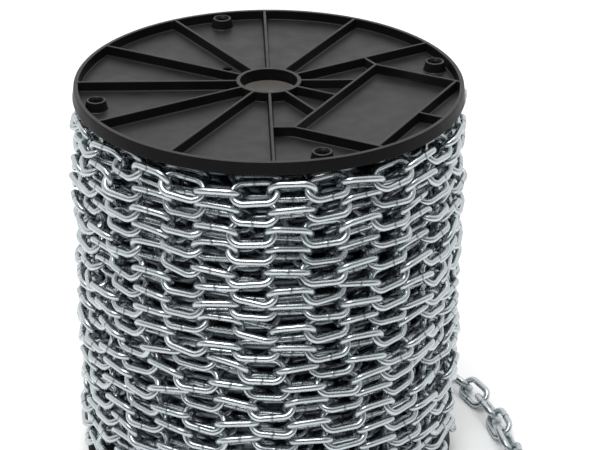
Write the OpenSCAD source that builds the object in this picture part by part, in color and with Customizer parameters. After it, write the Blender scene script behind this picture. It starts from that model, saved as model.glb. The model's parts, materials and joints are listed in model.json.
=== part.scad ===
// Moulded plastic spool wound with welded steel link chain, with the loose end of the
// chain lying on the floor beside it. The spool axis is Z. The origin is the centre of
// the spool's bottom face. Millimetres.

/* [Chain] */
// Diameter of the chain's wire
wire_d = 6; // [5.8:0.05:6.05]
// Outside length of a link
link_l = 43; // [42.5:0.1:43.2]
// Outside width of a link
link_w = 24.5; // [24.3:0.1:25]
// Play between two taut links
link_play = 0.35; // [0.3:0.05:0.5]

/* [Spool] */
// Overall height of the spool
spool_h = 373; // [372:1:380]
// Radius of a flange at its outer edge
flange_r = 170; // [169:0.5:174]
// Thickness of a flange, from the winding to its outer edge
flange_t = 11; // [10.5:0.1:11.2]
// Thickness of a flange's web
web_t = 2.5; // [2:0.1:3]
// Thickness of the flange ribs
rib_t = 3; // [2.5:0.1:3.5]
// Radius of the spindle bore
bore_r = 25; // [20:0.5:26]
// Outer radius of the core tube
tube_r = 45; // [44:0.5:50]
// Wall thickness of the core tube
tube_wall = 7; // [5:0.5:9]

/* [Winding] */
// Links in one turn of the outer layer
turn_links = 34; // [34]
// Turns in the outer layer
turns = 18; // [18]

/* [Hidden] */
$fn = 96;
EPS = 0.01;
// Chain
wire_r = wire_d / 2;
half_w = (link_w - wire_d) / 2;           // from a link's middle to the centre of its side
link_straight = link_l - link_w;          // length of a link's straight sides
pitch = link_l - 2 * wire_d - link_play;  // from one joint of the chain to the next
tilt = 45;                                // links lie half over, to one side and the other
lying_h = half_w * sin(tilt) + wire_r;    // height of a lying chain's middle
// Flange
rim_t = 3.8;
rim_draft = 1.5;
recess = flange_t - web_t;
hub_r = bore_r + 3.5;
rim_inner_r = flange_r - rim_t;
rib_drop = 0.2;                           // the ribs stop this far below the rim and the hub
boss_circle_r = 154;
boss_turn = 15;
boss_r = 8.3;
boss_base_r = 9.8;
boss_hole_r = 6.7;
tie_hole_r = 4.3;
tie_hole_at = 58;
tie_hole_turn = 128;
collar_t = 3.3;
collar_h = 15;
collar_gap = 0.2;
// Label frame between the ribs, square to the direction at -30 degrees
frame_turn = -30;
frame_near = 66;
frame_far = 144;
frame_half = 77;
// The lower flange is turned this far about the axis, so its holes line up with the upper one's
lower_turn = 60;
// Outer layer of chain, a helix that climbs anticlockwise from its loose end
wind_r = pitch / (2 * sin(180 / turn_links));
wind_turn = 85;
first_z = flange_t + lying_h + 0.7;
rise = (spool_h - 2 * first_z) / turns;
wind_z = first_z;
// Inner layers
inner_r = wind_r - half_w * sin(tilt) - wire_r - 1.6;
inner_gap = 0.4;
// Loose end: heading of each link from +X, and height of the joint at its far end
tail_heading = [-5, -3, -4, -18, -32, -46, -60, -66, -74, -80, -84, -92, -104];
tail_z = [first_z, first_z - 0.6, 15, 11.5, lying_h];

// ---- Chain ----

// One welded link: its long axis along X, lying flat in the XY plane
module chain_link() {
    for (side = [-1, 1])
        translate([-link_straight / 2, side * half_w, 0])
            rotate([0, 90, 0]) cylinder(h = link_straight, r = wire_r);
    for (end = [-1, 1])
        translate([end * link_straight / 2, 0, 0])
            rotate([0, 0, -90 * end])
                rotate_extrude(angle = 180) translate([half_w, 0]) circle(r = wire_r);
}

// A link between two joints of the chain, lying over to one side or the other
module link_between(from, to, side) {
    way = to - from;
    translate((from + to) / 2)
        rotate([0, -asin(way[2] / norm(way)), atan2(way[1], way[0])])
            rotate([side * tilt, 0, 0]) chain_link();
}

// Joint number i of the wound chain, counted back from the loose end
function wound_joint(i) =
    let (a = wind_turn + i * 360 / turn_links)
    [wind_r * cos(a), wind_r * sin(a), wind_z + rise * i / turn_links];

// Joint number i of the loose end, where joint 0 is the last one on the winding
function tail_height(i) = tail_z[min(i, len(tail_z)) - 1];
function tail_joint(i) =
    i == 0 ? wound_joint(0) :
    let (
        before = tail_joint(i - 1),
        climb = tail_height(i) - before[2],
        run = sqrt(pitch * pitch - climb * climb),
        a = tail_heading[i - 1]
    )
    before + [run * cos(a), run * sin(a), climb];

// One turn of the outer layer, a separate solid for each link
module chain_turn(n) {
    color("silver")
        for (k = [0 : turn_links - 1])
            let (i = (n - 1) * turn_links + k)
                link_between(wound_joint(i + 1), wound_joint(i), i % 2 == 0 ? 1 : -1);
}

// One link of the loose end
module tail_link(n) {
    color("silver")
        link_between(tail_joint(n - 1), tail_joint(n), n % 2 == 0 ? 1 : -1);
}

// Everything wound under the outer layer, as one plain tube
module inner_winding() {
    color("slategray")
        difference() {
            translate([0, 0, flange_t + inner_gap])
                cylinder(h = spool_h - 2 * flange_t - 2 * inner_gap, r = inner_r);
            cylinder(h = spool_h, r = tube_r + collar_t + 2 * collar_gap + inner_gap);
        }
}

// ---- Spool ----

module core_tube() {
    color("tan")
        difference() {
            translate([0, 0, flange_t]) cylinder(h = spool_h - 2 * flange_t, r = tube_r);
            cylinder(h = spool_h, r = tube_r - tube_wall);
        }
}

// Plan of a straight rib from one point to another
module rib(from, to) {
    way = to - from;
    translate(from) rotate(atan2(way[1], way[0]))
        translate([0, -rib_t / 2]) square([norm(way), rib_t]);
}

function polar(r, a) = [r * cos(a), r * sin(a)];

// Plan of the radial ribs, which the label frame cuts short at three places
module radial_ribs() {
    hub_end = hub_r - 1;
    rim_end = rim_inner_r + 1;
    for (a = [30 : 30 : 270]) rib(polar(hub_end, a), polar(rim_end, a));
    for (a = [-30, 0, 30])
        rib(polar(hub_end, frame_turn + a), polar(frame_near / cos(a), frame_turn + a));
    rib(polar(frame_far, frame_turn), polar(rim_end, frame_turn));
}

// Plan of the ribs that frame the label, with a short tie at each inner corner
module label_frame() {
    side_end = sqrt(pow(rim_inner_r + 1, 2) - pow(frame_half, 2));
    rotate(frame_turn) {
        for (n = [frame_near, frame_far])
            rib([n, -frame_half - rib_t / 2], [n, frame_half + rib_t / 2]);
        for (s = [-1, 1]) {
            tie_foot = frame_near * cos(60) + frame_half * sin(60);
            rib([frame_near, s * frame_half], [side_end, s * frame_half]);
            rib([frame_near, s * frame_half], polar(tie_foot, s * 60));
        }
    }
}

// Web, rim and hub turned as one profile; the winding side is at z = 0
module flange_disc() {
    rotate_extrude()
        polygon([
            [bore_r - 5, 0], [flange_r + rim_draft, 0], [flange_r, flange_t],
            [rim_inner_r, flange_t], [rim_inner_r - 0.6, web_t], [hub_r + 0.6, web_t],
            [hub_r, flange_t], [bore_r - 5, flange_t]
        ]);
}

// Ring under the web that holds the end of the core tube
module tube_collar() {
    translate([0, 0, -collar_h])
        difference() {
            cylinder(h = collar_h + EPS, r = tube_r + collar_gap + collar_t);
            translate([0, 0, -EPS]) cylinder(h = collar_h + 3 * EPS, r = tube_r + collar_gap);
        }
}

// A whole flange, turned about its axis
module flange(turn) {
    difference() {
        union() {
            flange_disc();
            translate([0, 0, web_t - EPS])
                linear_extrude(recess + EPS - rib_drop) rotate(turn) {
                    radial_ribs();
                    label_frame();
                }
            tube_collar();
            for (k = [0 : 3])
                translate(concat(polar(boss_circle_r, boss_turn + turn + 90 * k), 0))
                    cylinder(h = flange_t, r1 = boss_base_r + 0.5, r2 = boss_r);
        }
        translate([0, 0, -EPS]) cylinder(h = flange_t + 2 * EPS, r = bore_r);
        for (k = [0 : 3])
            translate(concat(polar(boss_circle_r, boss_turn + turn + 90 * k), -1))
                cylinder(h = flange_t + 2, r = boss_hole_r);
        translate(concat(polar(tie_hole_at, tie_hole_turn + turn), -1))
            cylinder(h = flange_t + 2, r = tie_hole_r);
    }
}

module top_flange() {
    color("dimgray") translate([0, 0, spool_h - flange_t]) flange(0);
}

// The same moulding turned over
module bottom_flange() {
    color("dimgray") translate([0, 0, flange_t]) rotate([180, 0, 0]) flange(lower_turn);
}

top_flange();
bottom_flange();
core_tube();
inner_winding();
chain_turn(1);  // chain_turn_01
chain_turn(2);  // chain_turn_02
chain_turn(3);  // chain_turn_03
chain_turn(4);  // chain_turn_04
chain_turn(5);  // chain_turn_05
chain_turn(6);  // chain_turn_06
chain_turn(7);  // chain_turn_07
chain_turn(8);  // chain_turn_08
chain_turn(9);  // chain_turn_09
chain_turn(10);  // chain_turn_10
chain_turn(11);  // chain_turn_11
chain_turn(12);  // chain_turn_12
chain_turn(13);  // chain_turn_13
chain_turn(14);  // chain_turn_14
chain_turn(15);  // chain_turn_15
chain_turn(16);  // chain_turn_16
chain_turn(17);  // chain_turn_17
chain_turn(18);  // chain_turn_18
tail_link(1);  // tail_link_01
tail_link(2);  // tail_link_02
tail_link(3);  // tail_link_03
tail_link(4);  // tail_link_04
tail_link(5);  // tail_link_05
tail_link(6);  // tail_link_06
tail_link(7);  // tail_link_07
tail_link(8);  // tail_link_08
tail_link(9);  // tail_link_09
tail_link(10);  // tail_link_10
tail_link(11);  // tail_link_11
tail_link(12);  // tail_link_12
tail_link(13);  // tail_link_13
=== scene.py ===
"""A black moulded spool wound with zinc-plated welded link chain.

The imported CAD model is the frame. Its spool and chain nodes are replaced here by the same
pieces at the same places with rounded plastic edges, weld seams and chain that lies as
unevenly as wound chain does.
"""
import json
import math

import bpy
import numpy as np
from mathutils import Matrix, Vector


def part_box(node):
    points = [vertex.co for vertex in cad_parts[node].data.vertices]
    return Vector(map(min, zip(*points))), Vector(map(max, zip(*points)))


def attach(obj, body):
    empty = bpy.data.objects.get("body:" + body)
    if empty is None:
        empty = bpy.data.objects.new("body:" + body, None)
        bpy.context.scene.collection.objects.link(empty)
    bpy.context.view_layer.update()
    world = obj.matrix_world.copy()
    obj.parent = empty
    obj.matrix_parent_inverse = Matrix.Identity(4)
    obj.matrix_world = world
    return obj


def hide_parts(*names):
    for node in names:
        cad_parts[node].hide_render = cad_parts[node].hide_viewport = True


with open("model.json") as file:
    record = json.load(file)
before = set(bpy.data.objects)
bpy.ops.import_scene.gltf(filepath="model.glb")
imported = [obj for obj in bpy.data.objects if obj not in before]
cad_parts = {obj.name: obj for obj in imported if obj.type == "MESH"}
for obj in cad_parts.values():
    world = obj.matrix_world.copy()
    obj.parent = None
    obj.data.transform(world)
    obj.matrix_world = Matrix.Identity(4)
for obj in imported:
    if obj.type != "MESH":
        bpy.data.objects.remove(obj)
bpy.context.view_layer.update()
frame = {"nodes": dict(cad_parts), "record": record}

MM = 0.001

# ---- Sizes, in metres: what the frame tells, then the driving sizes of the CAD model ----

SPOOL_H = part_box("top_flange")[1].z
TURN_NODES = sorted(n for n in frame["nodes"] if n.startswith("chain_turn_"))
TAIL_NODES = sorted(n for n in frame["nodes"] if n.startswith("tail_link_"))

WIRE_R = 3 * MM
LINK_L = 43 * MM
LINK_W = 24.5 * MM
HALF_W = LINK_W / 2 - WIRE_R              # from a link's middle to the centre of its side
HALF_STRAIGHT = (LINK_L - LINK_W) / 2
PITCH = LINK_L - 4 * WIRE_R - 0.35 * MM   # from one joint of the chain to the next
LYING_H = HALF_W * math.sin(math.radians(45)) + WIRE_R   # how high a link stands, leaning at 45
WINDING_INNER_R = 149 * MM                # the outer layer stays between these two
WINDING_OUTER_R = 177 * MM
INNER_LAYERS_R = (147 * MM, 130 * MM, 113 * MM, 96 * MM)

FLANGE_T = 11 * MM
WEB_T = 2.5 * MM
FLANGE_R = 170 * MM
BORE_R = 25 * MM
RIM_T = 3.8 * MM
RIM_INNER_R = FLANGE_R - RIM_T
HUB_R = BORE_R + 3.5 * MM
COLLAR_R = 45.2 * MM
COLLAR_T = 3.3 * MM
COLLAR_DEEP = 15 * MM
RIB_TOP = 1.3 * MM                        # half a rib's width at its top and at its foot
RIB_FOOT = 1.75 * MM
FRAME_TURN = -30                          # which way the label frame faces, in degrees
FRAME_NEAR = 66 * MM
FRAME_FAR = 144 * MM
FRAME_HALF = 77 * MM
BOSS_CIRCLE_R = 154 * MM
BOSS_TURN = 15
BOSS_TOP_R = 8.2 * MM
BOSS_FOOT_R = 10 * MM
BOSS_HOLE_R = 6.7 * MM
TIE_CIRCLE_R = 58 * MM
TIE_TURN = 128
TIE_HOLE_R = 4.3 * MM
LOWER_TURN = 60                           # so the lower bosses line up with the upper ones


def polar(r, degrees, z=0.0):
    a = math.radians(degrees)
    return np.array([r * math.cos(a), r * math.sin(a), z])


def new_object(name, verts, faces, smooth=True):
    """A mesh object from arrays of points and of faces that all have as many corners."""
    mesh = bpy.data.meshes.new(name)
    verts = np.asarray(verts, dtype=np.float32)
    if isinstance(faces, np.ndarray):
        corners = faces.shape[1]
        mesh.vertices.add(len(verts))
        mesh.vertices.foreach_set("co", verts.ravel())
        mesh.loops.add(faces.size)
        mesh.loops.foreach_set("vertex_index", faces.ravel().astype(np.int32))
        mesh.polygons.add(len(faces))
        starts = np.arange(0, faces.size, corners, dtype=np.int32)
        mesh.polygons.foreach_set("loop_start", starts)
        mesh.update(calc_edges=True)
    else:
        mesh.from_pydata(verts.tolist(), [], faces)
    mesh.validate()
    if smooth:
        mesh.shade_smooth()
    else:
        mesh.shade_flat()
    obj = bpy.data.objects.new(name, mesh)
    bpy.context.scene.collection.objects.link(obj)
    return obj


# ---- Materials ----

def material(name, base, metallic=0.0, roughness=0.5):
    """A new material with its node tree and its Principled shader."""
    mat = bpy.data.materials.new(name)
    mat.use_nodes = True
    shader = mat.node_tree.nodes["Principled BSDF"]
    shader.inputs["Base Color"].default_value = (*base, 1)
    shader.inputs["Metallic"].default_value = metallic
    shader.inputs["Roughness"].default_value = roughness
    return mat, mat.node_tree, shader


def add(tree, kind, **values):
    """A new node, with values for its properties or its inputs."""
    node = tree.nodes.new(kind)
    for key, value in values.items():
        if key in node.inputs:
            node.inputs[key].default_value = value
        else:
            setattr(node, key, value)
    return node


def noise(tree, scale, detail=3.0, roughness=0.55):
    """Noise in the object's own space, scale in features a metre."""
    where = add(tree, "ShaderNodeTexCoord")
    node = add(tree, "ShaderNodeTexNoise", Scale=scale, Detail=detail, Roughness=roughness)
    tree.links.new(where.outputs["Object"], node.inputs["Vector"])
    return node.outputs["Fac"]


def ramp(tree, source, stops):
    """A colour ramp through stops of (place, grey or colour)."""
    node = add(tree, "ShaderNodeValToRGB")
    elements = node.color_ramp.elements
    while len(elements) < len(stops):
        elements.new(0.5)
    for element, (place, colour) in zip(elements, stops):
        element.position = place
        rgb = colour if isinstance(colour, tuple) else (colour,) * 3
        element.color = (*rgb, 1)
    tree.links.new(source, node.inputs["Fac"])
    return node.outputs["Color"]


def bump(tree, shader, source, strength, distance):
    node = add(tree, "ShaderNodeBump", Strength=strength, Distance=distance)
    tree.links.new(source, node.inputs["Height"])
    tree.links.new(node.outputs["Normal"], shader.inputs["Normal"])


def spool_plastic(name, shade, specular):
    """Recycled black plastic: cloudy grey-black, finely grained, a little shiny."""
    mat, tree, shader = material(name, (shade, shade, shade), roughness=0.45)
    shader.inputs["Specular IOR Level"].default_value = specular
    cloud = ramp(tree, noise(tree, 22, 4, 0.6), [(0.3, 0.6 * shade), (0.7, shade)])
    tree.links.new(cloud, shader.inputs["Base Color"])
    tree.links.new(ramp(tree, noise(tree, 60, 3), [(0.35, 0.36), (0.65, 0.46)]),
                   shader.inputs["Roughness"])
    bump(tree, shader, noise(tree, 2600, 2), 0.25, 0.00006)
    return mat


def zinc(name, base, dull):
    """Bright zinc plate on drawn and welded wire."""
    mat, tree, shader = material(name, base, metallic=1.0, roughness=dull)
    stain = ramp(tree, noise(tree, 90, 3),
                 [(0.3, tuple(0.88 * c for c in base)), (0.7, base)])
    weld = add(tree, "ShaderNodeAttribute", attribute_name="weld")
    mix = add(tree, "ShaderNodeMix", data_type="RGBA")
    tree.links.new(weld.outputs["Fac"], mix.inputs["Factor"])
    tree.links.new(stain, mix.inputs[6])
    mix.inputs[7].default_value = (*(0.35 * c for c in base), 1)
    tree.links.new(mix.outputs[2], shader.inputs["Base Color"])
    tree.links.new(ramp(tree, noise(tree, 400, 2), [(0.3, dull - 0.05), (0.7, dull + 0.08)]),
                   shader.inputs["Roughness"])
    bump(tree, shader, noise(tree, 900, 2), 0.15, 0.0001)
    return mat


def core_board():
    """Spiral-wound grey board."""
    mat, tree, shader = material("core_board", (0.82, 0.79, 0.75), roughness=0.9)
    fibre = ramp(tree, noise(tree, 500, 4), [(0.3, (0.84, 0.82, 0.79)), (0.7, (0.94, 0.92, 0.90))])
    tree.links.new(fibre, shader.inputs["Base Color"])
    bump(tree, shader, noise(tree, 900, 3), 0.4, 0.0002)
    return mat


PLASTIC = spool_plastic("spool_plastic", 0.010, 0.3)
SHADED_SIDE_PLASTIC = spool_plastic("spool_plastic_shaded_sides", 0.006, 0.08)   # darker and less shiny than PLASTIC: painted shade on the upright faces
BRIGHT_ZINC = zinc("bright_zinc", (0.52, 0.565, 0.58), 0.27)
# The inner layers' zinc is a darker copy of the bright zinc: painted shade between the layers.
SHADED_INNER_ZINC = zinc("inner_zinc_painted_shade", (0.30, 0.33, 0.36), 0.3)
BOARD = core_board()


def place(obj, mat, body, slot, *nodes):
    """Gives a finished piece its material and its body, and hides the nodes it stands for; slot is not
    used.
    """
    obj.data.materials.append(mat)
    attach(obj, body)
    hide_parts(*nodes)
    return obj


# ---- Chain ----

class LinkShape:
    """The mesh of one welded link, long axis along X, flat in XY, as rings round its wire."""

    def __init__(self, around, crown, weld_rings):
        straight = np.linspace(-1, 1, 4)[1:-1] * HALF_STRAIGHT
        weld_at = np.array([-3.2, -2.0, -1.3, -0.8, -0.3, 0.3, 0.8, 1.3, 2.0, 3.2]) * MM
        welded = weld_at if weld_rings else straight
        turn = np.linspace(-90, 90, crown)
        path = [(x, -HALF_W, -90.0) for x in straight]
        path += [(HALF_STRAIGHT + HALF_W * math.cos(math.radians(a)),
                  HALF_W * math.sin(math.radians(a)), a) for a in turn]
        path += [(-x, HALF_W, 90.0) for x in welded]
        path += [(-HALF_STRAIGHT - HALF_W * math.cos(math.radians(a)),
                  HALF_W * math.sin(math.radians(a)), 180 - a) for a in turn[::-1]]
        path = np.array(path)
        side = (path[:, 1] > HALF_W * 0.999) & (np.abs(path[:, 0]) < 4 * MM)
        self.weld = np.where(side, np.exp(-(path[:, 0] / (1.1 * MM)) ** 2), 0) * weld_rings
        radius = WIRE_R * (1 + 0.11 * self.weld)
        out = np.radians(path[:, 2])
        spin = np.linspace(0, 2 * math.pi, around, endpoint=False)
        normal = np.stack([np.cos(out), np.sin(out), 0 * out], 1)
        ring = (np.cos(spin)[None, :, None] * normal[:, None, :]
                + np.sin(spin)[None, :, None] * np.array([0, 0, 1.0]))
        centre = np.stack([path[:, 0], path[:, 1], 0 * out], 1)
        self.verts = (centre[:, None, :] + radius[:, None, None] * ring).reshape(-1, 3)
        rings = len(path)
        i, j = np.meshgrid(np.arange(rings), np.arange(around), indexing="ij")
        ni, nj = (i + 1) % rings, (j + 1) % around
        self.faces = np.stack([i * around + j, ni * around + j,
                               ni * around + nj, i * around + nj], -1).reshape(-1, 4)
        self.weld = np.repeat(self.weld, around)


def centreline(points=48):
    """Points along the centre of a link's wire, evenly spaced, in the link's own space."""
    length = 4 * HALF_STRAIGHT + 2 * math.pi * HALF_W
    out = []
    for s in np.arange(points) * length / points:
        if s < 2 * HALF_STRAIGHT:
            out.append((s - HALF_STRAIGHT, -HALF_W, 0))
            continue
        s -= 2 * HALF_STRAIGHT
        if s < math.pi * HALF_W:
            a = s / HALF_W - math.pi / 2
            out.append((HALF_STRAIGHT + HALF_W * math.cos(a), HALF_W * math.sin(a), 0))
            continue
        s -= math.pi * HALF_W
        if s < 2 * HALF_STRAIGHT:
            out.append((HALF_STRAIGHT - s, HALF_W, 0))
            continue
        a = (s - 2 * HALF_STRAIGHT) / HALF_W + math.pi / 2
        out.append((-HALF_STRAIGHT + HALF_W * math.cos(a), HALF_W * math.sin(a), 0))
    return np.array(out)


def unit(v):
    return v / np.linalg.norm(v, axis=-1, keepdims=True)


def link_axes(start, end, roll):
    """(middle, 3 rows: long axis, side axis, normal) of links from joint to joint on the winding.

    roll is how far a link's side leans from straight out of the winding towards up, in degrees.
    """
    start, end, roll = np.atleast_2d(start), np.atleast_2d(end), np.radians(np.atleast_1d(roll))
    middle = (start + end) / 2
    along = unit(end - start)
    out = middle * [1, 1, 0]
    out = unit(out - (out * along).sum(1, keepdims=True) * along)
    up = np.cross(out, along)
    up = up * np.sign(up[:, 2:3])
    side = np.cos(roll)[:, None] * out + np.sin(roll)[:, None] * up
    return middle, np.stack([along, side, np.cross(along, side)], 1)


def chain_object(name, shape, middles, axes, flips):
    """One object of many links, each turned end for end or side for side by its flip."""
    signs = np.array([[1, 1, 1], [-1, -1, 1], [1, -1, -1], [-1, 1, -1]])[flips]
    local = shape.verts[None] * signs[:, None, :]
    verts = np.einsum("kvi,kij->kvj", local, axes) + middles[:, None, :]
    count = len(shape.verts)
    faces = shape.faces[None] + (np.arange(len(middles)) * count)[:, None, None]
    obj = new_object(name, verts.reshape(-1, 3), faces.reshape(-1, 4))
    weld = obj.data.attributes.new("weld", "FLOAT", "POINT")
    weld.data.foreach_set("value", np.tile(shape.weld, len(middles)).astype(np.float32))
    return obj


def node_points(name):
    data = frame["nodes"][name].data
    points = np.empty(len(data.vertices) * 3)
    data.vertices.foreach_get("co", points)
    return points.reshape(-1, 3)


def tail_link_pose(name):
    """(middle, axes) of a CAD link, from the spread of its own points."""
    points = node_points(name)
    middle = points.mean(0)
    for _ in range(3):
        axes = np.linalg.svd(points - middle, full_matrices=False)[2]
        spans = (points - middle) @ axes.T
        middle = middle + (spans.max(0) + spans.min(0)) / 2 @ axes
    axes[2] = np.cross(axes[0], axes[1])
    return middle, axes


def cylindrical(r, turn, z):
    return np.stack([r * np.cos(turn), r * np.sin(turn), z + 0 * r], -1)


def next_joint(r0, turn0, z0, r1, z1):
    """How far round the next joint lies, so that it is one pitch from the last."""
    cosine = (r0 ** 2 + r1 ** 2 + (z1 - z0) ** 2 - PITCH ** 2) / (2 * r0 * r1)
    return turn0 + np.arccos(np.clip(cosine, -1, 1))


def closest(points, others):
    """The least distance from each candidate's points (c, p, 3) to others (n, 3)."""
    flat = points.reshape(-1, 3)
    square = (flat ** 2).sum(1)[:, None] + (others ** 2).sum(1) - 2 * flat @ others.T
    return np.sqrt(np.maximum(square.reshape(len(points), -1).min(1), 0))


def room_for(cloud, near, last):
    """How near each candidate's wire (c, p, 3) comes to what it must miss, from centre to centre.

    near is the points of the links beside it, and last those of the link that it hangs in.
    """
    radius = np.hypot(cloud[:, :, 0], cloud[:, :, 1])
    inward = radius.min(1) - WIRE_R - WINDING_INNER_R
    outward = WINDING_OUTER_R - WIRE_R - radius.max(1)
    below = cloud[:, :, 2].min(1) - WIRE_R - FLANGE_T
    above = SPOOL_H - FLANGE_T - cloud[:, :, 2].max(1) - WIRE_R
    room = 2 * WIRE_R + np.min([inward, outward, below, above], axis=0)
    if near:
        room = np.minimum(room, closest(cloud, np.concatenate(near)))
    if last is not None:
        room = np.minimum(room, closest(cloud, last) + 0.1 * MM)
    return room


def wind_outer(first, turns, rng):
    """Winds the outer layer one link at a time, upwards, each link lying as unevenly as its
    neighbours leave room for. Returns (middles, axes, turn number of each link)."""
    wire = centreline()
    base_r = math.hypot(first[0], first[1])
    turn0 = math.atan2(first[1], first[0])
    low = first[2]
    high = SPOOL_H - FLANGE_T - LYING_H - 0.6 * MM
    total = turns * 2 * math.pi
    joint = (base_r, turn0, low)
    middles, axes, clouds, where = [], [], [], []
    tries = 150
    k = 0
    while joint[1] - turn0 < total - 0.6 * PITCH / base_r:
        r0, t0, z0 = joint
        done = (t0 - turn0) / (2 * math.pi)
        # Slow waves along the rows, in mm: in and out, then up and down, least at the flanges.
        wave_r = 2.2 * math.sin(3.1 * t0 + 1.3) + 1.8 * math.sin(5.3 * t0 + 2.1 * done)
        swell = 4.0 * math.sin(math.pi * done / turns)
        wave_z = swell * math.sin(2 * t0 + 0.4) + 0.5 * math.sin(5 * t0 + 1.0)
        # The first links lie evenly, as the loose end that they come from does.
        calm = min(1.0, k / 5)
        dr = calm * (0.6 * wave_r + rng.uniform(-7.5, 3.5, tries)) * MM
        dz = calm * (wave_z + rng.uniform(-2.6, 2.6, tries)) * MM
        lean = calm * rng.uniform(-34, 34, tries)
        z1 = np.clip(low + (high - low) * (done + PITCH / base_r / (2 * math.pi)) / turns + dz,
                     low, high)
        r1 = base_r + dr
        t1 = next_joint(r0, t0, z0, r1, z1)
        roll = (45 if k % 2 == 0 else -45) + lean
        start = np.repeat(cylindrical(np.array([r0]), t0, z0), tries, 0)
        middle, axis = link_axes(start, cylindrical(r1, t1, z1), roll)
        cloud = np.einsum("pi,cij->cpj", wire, axis) + middle[:, None, :]
        # 40 links reach back past one whole turn, to the row below.
        near = [c for c, w in zip(clouds[-40:-1], where[-40:-1])
                if abs(math.remainder(w - t0, 2 * math.pi)) < 2.6 * PITCH / base_r]
        room = room_for(cloud, near, clouds[-1] if clouds else None)
        fits = np.flatnonzero(room > 2 * WIRE_R + 0.1 * MM)
        best = fits[0] if len(fits) else int(np.argmax(room))
        middles.append(middle[best])
        axes.append(axis[best])
        clouds.append(cloud[best])
        where.append(t0)
        joint = (float(r1[best]), float(t1[best]), float(z1[best]))
        k += 1
    turn = np.minimum(((np.array(where) - turn0) / (2 * math.pi)).astype(int), turns - 1)
    return np.array(middles), np.array(axes), turn


def wind_inner(radius, turns, start_turn, rng):
    """A lower layer: the same helix, lying more evenly under the layers above it."""
    low = FLANGE_T + LYING_H + 1.2 * MM
    high = SPOOL_H - low
    count = int(turns * 2 * math.pi * radius / PITCH)
    t = start_turn + np.arange(count + 1) * PITCH / radius
    z = low + (high - low) * np.arange(count + 1) / count + rng.uniform(-0.8, 0.8, count + 1) * MM
    joints = cylindrical(np.full(count + 1, radius), t, z)
    roll = np.where(np.arange(count) % 2 == 0, 45, -45) + rng.uniform(-9, 9, count)
    return link_axes(joints[:-1], joints[1:], roll)


def body_of_node(node):
    for body, names in frame["record"]["behaviour"]["bodies"].items():
        if node in names:
            return body
    raise ValueError(node)


def make_chain():
    rng = np.random.default_rng(11)
    fine = LinkShape(around=20, crown=15, weld_rings=1)
    coarse = LinkShape(around=9, crown=8, weld_rings=0)

    poses = [tail_link_pose(n) for n in TAIL_NODES]
    for number, (name, (middle, axes)) in enumerate(zip(TAIL_NODES, poses)):
        piece = chain_object("loose_" + name[-7:], fine, middle[None], axes[None],
                             np.array([number % 4]))
        place(piece, BRIGHT_ZINC, body_of_node(name), "zinc_plate", name)

    middle, axes = poses[0]
    ends = [middle + s * axes[0] * PITCH / 2 for s in (-1, 1)]
    first = min(ends, key=lambda p: math.hypot(p[0], p[1]))
    middles, axes, turn = wind_outer(first, len(TURN_NODES), rng)
    flips = rng.integers(0, 4, len(middles))
    for number, node in enumerate(TURN_NODES):
        mine = turn == number
        piece = chain_object("wound_" + node[-7:], fine, middles[mine], axes[mine], flips[mine])
        place(piece, BRIGHT_ZINC, "spool", "zinc_plate", node)

    for layer, radius in enumerate(INNER_LAYERS_R):
        middles, axes = wind_inner(radius, len(TURN_NODES), 0.7 * layer, rng)
        flips = rng.integers(0, 4, len(middles))
        piece = chain_object(f"inner_layer_{layer + 2}", coarse, middles, axes, flips)
        place(piece, SHADED_INNER_ZINC, "spool", "wound_chain", "inner_winding")


# ---- Spool ----

def rounded(points, radii, steps=4):
    """A closed outline with each corner cut to an arc-like curve of about its radius."""
    out = []
    n = len(points)
    for i, (p, r) in enumerate(zip(points, radii)):
        p = np.array(p, float)
        if r <= 0:
            out.append(p)
            continue
        before, after = (np.array(points[(i + s) % n], float) for s in (-1, 1))
        a = p + unit(before - p) * min(r, np.linalg.norm(before - p) * 0.45)
        b = p + unit(after - p) * min(r, np.linalg.norm(after - p) * 0.45)
        for t in np.linspace(0, 1, steps + 1):
            out.append((1 - t) ** 2 * a + 2 * t * (1 - t) * p + t ** 2 * b)
    return np.array(out)


def revolve(outline, segments):
    """(points, faces) of a closed outline of (radius, height) turned round Z."""
    n = len(outline)
    verts, faces = [], []
    for k in range(segments):
        a = 2 * math.pi * k / segments
        verts += [(r * math.cos(a), r * math.sin(a), z) for r, z in outline]
        nk = (k + 1) % segments
        faces += [[k * n + i, nk * n + i, nk * n + (i + 1) % n, k * n + (i + 1) % n]
                  for i in range(n)]
    return verts, faces


def turned(outline, segments):
    """(points, faces) of a solid turned round Z from an outline that starts and ends on it."""
    inner = [(r, z) for r, z in outline if r > 1e-9]
    n = len(inner)
    verts, faces = [], []
    for k in range(segments):
        a = 2 * math.pi * k / segments
        verts += [(r * math.cos(a), r * math.sin(a), z) for r, z in inner]
        nk = (k + 1) % segments
        faces += [[k * n + i, nk * n + i, nk * n + i + 1, k * n + i + 1] for i in range(n - 1)]
    faces.append([k * n for k in range(segments)][::-1])
    faces.append([k * n + n - 1 for k in range(segments)])
    return verts, faces


def extrude_between(start, end, section):
    """(points, faces) of a section of (across, height) run from one floor point to another."""
    start, end = np.array(start[:2]), np.array(end[:2])
    way = unit(end - start)
    across = np.array([-way[1], way[0]])
    n = len(section)
    verts = [(*(p + across * s), h) for p in (start, end) for s, h in section]
    faces = [[i, (i + 1) % n, n + (i + 1) % n, n + i] for i in range(n)]
    faces += [list(range(n))[::-1], list(range(n, 2 * n))]
    return verts, faces


def rib_section():
    """Half-round-topped rib with draft and a fillet at its foot."""
    floor, top = WEB_T - 0.6 * MM, FLANGE_T
    right = [(RIB_FOOT + 1.5 * MM, floor), (RIB_FOOT + 1.3 * MM, WEB_T + 0.05 * MM),
             (RIB_FOOT + 0.5 * MM, WEB_T + 0.3 * MM), (RIB_FOOT + 0.1 * MM, WEB_T + 1.0 * MM),
             (RIB_TOP, top - 0.7 * MM), (RIB_TOP - 0.2 * MM, top - 0.2 * MM),
             (RIB_TOP - 0.65 * MM, top)]
    return right + [(-s, h) for s, h in reversed(right)]


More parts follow.
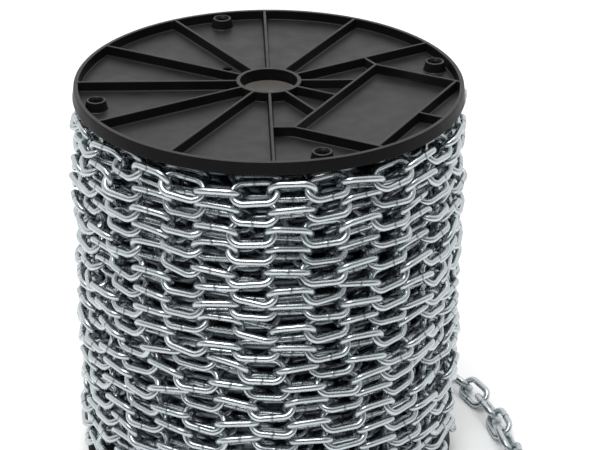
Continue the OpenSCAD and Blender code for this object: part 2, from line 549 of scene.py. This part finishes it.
def rib_lines():
    """(start, end) of each rib: radial ribs, then the label frame and its two ties."""
    hub_end, rim_end = HUB_R - 1 * MM, RIM_INNER_R + 1 * MM
    lines = [(polar(hub_end, a), polar(rim_end, a)) for a in range(30, 300, 30)]
    lines += [(polar(hub_end, FRAME_TURN + a),
               polar(FRAME_NEAR / math.cos(math.radians(a)), FRAME_TURN + a)) for a in (-30, 0, 30)]
    lines += [(polar(FRAME_FAR, FRAME_TURN), polar(rim_end, FRAME_TURN))]
    spin = Matrix.Rotation(math.radians(FRAME_TURN), 3, "Z")

    def at(n, t):
        return np.array(spin @ Vector((n, t, 0)))

    side_end = math.sqrt(rim_end ** 2 - FRAME_HALF ** 2)
    foot = FRAME_NEAR * 0.5 + FRAME_HALF * math.sin(math.radians(60))
    lines += [(at(n, -FRAME_HALF - RIB_TOP), at(n, FRAME_HALF + RIB_TOP))
              for n in (FRAME_NEAR, FRAME_FAR)]
    for s in (-1, 1):
        lines += [(at(FRAME_NEAR, s * FRAME_HALF), at(side_end, s * FRAME_HALF)),
                  (at(FRAME_NEAR, s * FRAME_HALF), polar(foot, FRAME_TURN + s * 60))]
    return lines


def boolean(obj, others, operation):
    """Applies a boolean with several objects, which are then deleted."""
    group = bpy.data.collections.new(operation.lower())
    for other in others:
        group.objects.link(other)
    mod = obj.modifiers.new(operation, "BOOLEAN")
    mod.operation, mod.solver, mod.operand_type = operation, "EXACT", "COLLECTION"
    mod.collection = group
    mod.use_self = False
    apply_modifiers(obj)
    for other in others:
        bpy.data.objects.remove(other)
    bpy.data.collections.remove(group)


def apply_modifiers(obj):
    shape = obj.evaluated_get(bpy.context.evaluated_depsgraph_get())
    mesh = bpy.data.meshes.new_from_object(shape)
    obj.modifiers.clear()
    obj.data = mesh


def drilled(radius, segments, centre):
    """A cutter for a hole right through the flange."""
    low, high = -1 * MM, FLANGE_T + 1 * MM
    cutter = new_object("hole", *turned([(0, low), (radius, low), (radius, high), (0, high)],
                                        segments))
    cutter.data.transform(Matrix.Translation(Vector(centre)))
    return cutter


def flange_mesh():
    """One flange with its winding side at z = 0 and its ribs upwards."""
    disc = rounded(
        [(BORE_R, 0), (COLLAR_R - 3 * MM, 0), (FLANGE_R + 1.5 * MM, 0), (FLANGE_R, FLANGE_T),
         (RIM_INNER_R, FLANGE_T), (RIM_INNER_R - 0.6 * MM, WEB_T), (HUB_R + 0.6 * MM, WEB_T),
         (HUB_R, FLANGE_T), (BORE_R, FLANGE_T)],
        [0.5 * MM, 0, 1 * MM, 1 * MM, 0.6 * MM, 1.2 * MM, 1.2 * MM, 0.6 * MM, 0.6 * MM])
    flange = new_object("flange", *revolve(disc, 192))
    ribs = [new_object("rib", *extrude_between(a, b, rib_section())) for a, b in rib_lines()]
    bosses = []
    holes = [drilled(BOSS_HOLE_R, 48, polar(BOSS_CIRCLE_R, BOSS_TURN + 90 * k)) for k in range(4)]
    for k in range(4):
        foot = WEB_T - 0.6 * MM
        outline = rounded([(0, foot), (BOSS_FOOT_R + 1.4 * MM, foot), (BOSS_FOOT_R, WEB_T + 0.4 * MM),
                           (BOSS_TOP_R, FLANGE_T), (0, FLANGE_T)],
                          [0, 0, 0.8 * MM, 0.7 * MM, 0])
        boss = new_object("boss", *turned(outline, 48))
        boss.data.transform(Matrix.Translation(Vector(polar(BOSS_CIRCLE_R, BOSS_TURN + 90 * k))))
        bosses.append(boss)
    holes.append(drilled(TIE_HOLE_R, 32, polar(TIE_CIRCLE_R, TIE_TURN)))
    wall = [(COLLAR_R, -COLLAR_DEEP), (COLLAR_R + COLLAR_T, -COLLAR_DEEP),
            (COLLAR_R + COLLAR_T, 0.8 * MM), (COLLAR_R, 0.8 * MM)]
    collar = new_object("collar", *revolve(wall, 96))
    boolean(flange, ribs + bosses + [collar], "UNION")
    boolean(flange, holes, "DIFFERENCE")
    mesh = flange.data
    bpy.data.objects.remove(flange)
    return mesh


def paint_shade_on_sides(mesh):
    """Gives the upright faces (the rim, the ribs' flanks and the bosses) the second, darker material:
    painted shade.
    """
    normals = np.empty(len(mesh.polygons) * 3)
    mesh.polygons.foreach_get("normal", normals)
    mesh.materials.append(SHADED_SIDE_PLASTIC)
    mesh.polygons.foreach_set("material_index", (np.abs(normals[2::3]) < 0.6).astype(np.int32))


def make_spool():
    mesh = flange_mesh()
    top = bpy.data.objects.new("flange_top", mesh)
    base = bpy.data.objects.new("flange_base", mesh.copy())
    top.data.transform(Matrix.Translation((0, 0, SPOOL_H - FLANGE_T)))
    over = (Matrix.Translation((0, 0, FLANGE_T)) @ Matrix.Rotation(math.pi, 4, "X")
            @ Matrix.Rotation(math.radians(LOWER_TURN), 4, "Z"))
    base.data.transform(over)
    for obj, node in ((top, "top_flange"), (base, "bottom_flange")):
        bpy.context.scene.collection.objects.link(obj)
        obj.data.shade_smooth()
        bpy.context.view_layer.objects.active = obj
        obj.select_set(True)
        bpy.ops.object.shade_auto_smooth(angle=math.radians(32))
        obj.select_set(False)
        weighted = obj.modifiers.new("weighted", "WEIGHTED_NORMAL")
        weighted.keep_sharp = True
        place(obj, PLASTIC, "spool", "spool_plastic", node)
        paint_shade_on_sides(obj.data)
    tube = frame["nodes"]["core_tube"]
    for s in tube.material_slots:
        s.material = BOARD


# ---- Studio ----

def make_camera():
    """Looks down on the reel from the front, with the spool's ribs turned 1.4 degrees."""
    data = bpy.data.cameras.new("camera")
    camera = bpy.data.objects.new("camera", data)
    bpy.context.scene.collection.objects.link(camera)
    target = Vector((0, 0, SPOOL_H / 2))
    elevation, azimuth, distance = 27.87, -91.4, 1.990
    away = Vector(polar(distance * math.cos(math.radians(elevation)), azimuth,
                        distance * math.sin(math.radians(elevation))))
    camera.location = target + away
    camera.rotation_euler = (-away).to_track_quat("-Z", "Y").to_euler()
    data.lens = 130.9
    data.sensor_width = 36
    data.shift_x = 0.052
    data.shift_y = 0.0732
    data.clip_end = 50
    bpy.context.scene.camera = camera


def soft_light(name, place_at, size, watts, target=(0, 0, 0.18)):
    data = bpy.data.lights.new(name, "AREA")
    data.shape = "RECTANGLE"
    data.size, data.size_y = size
    data.energy = watts
    light = bpy.data.objects.new(name, data)
    bpy.context.scene.collection.objects.link(light)
    light.location = place_at
    way = Vector(target) - Vector(place_at)
    light.rotation_euler = way.to_track_quat("-Z", "Y").to_euler()


def make_floor():
    corners = [(-6, -6), (6, -6), (6, 6), (-6, 6)]
    floor = new_object("floor", [(x, y, -0.5 * MM) for x, y in corners], [[0, 1, 2, 3]], smooth=False)
    floor.data.materials.append(material("studio_floor", (0.93, 0.93, 0.93), roughness=0.9)[0])


def make_world():
    """Bright behind the reel and above it, dark in front, for the plastic's sheen."""
    world = bpy.data.worlds.new("studio")
    bpy.context.scene.world = world
    world.use_nodes = True
    tree = world.node_tree
    where = add(tree, "ShaderNodeTexCoord")
    lean = add(tree, "ShaderNodeVectorMath", operation="DOT_PRODUCT")
    lean.inputs[1].default_value = (0, 0.4, 0.3)
    tree.links.new(where.outputs["Generated"], lean.inputs[0])
    centred = add(tree, "ShaderNodeMath", operation="ADD")
    centred.inputs[1].default_value = 0.5
    tree.links.new(lean.outputs["Value"], centred.inputs[0])
    sky = ramp(tree, centred.outputs["Value"],
               [(0.1, (0.04, 0.045, 0.05)), (0.35, (0.16, 0.165, 0.17)), (0.55, (0.6, 0.61, 0.62)),
                (0.75, (1.0, 1.0, 1.0))])
    tree.links.new(sky, tree.nodes["Background"].inputs["Color"])
    tree.nodes["Background"].inputs["Strength"].default_value = 1.05


def make_lights():
    soft_light("key", (-0.4, -1.0, 2.3), (1.2, 0.9), 34)
    soft_light("top", (0, 0.3, 2.2), (1.6, 1.2), 16)


make_camera()
make_spool()
make_chain()
make_floor()
make_world()
make_lights()
bpy.context.scene.view_settings.view_transform = "Standard"
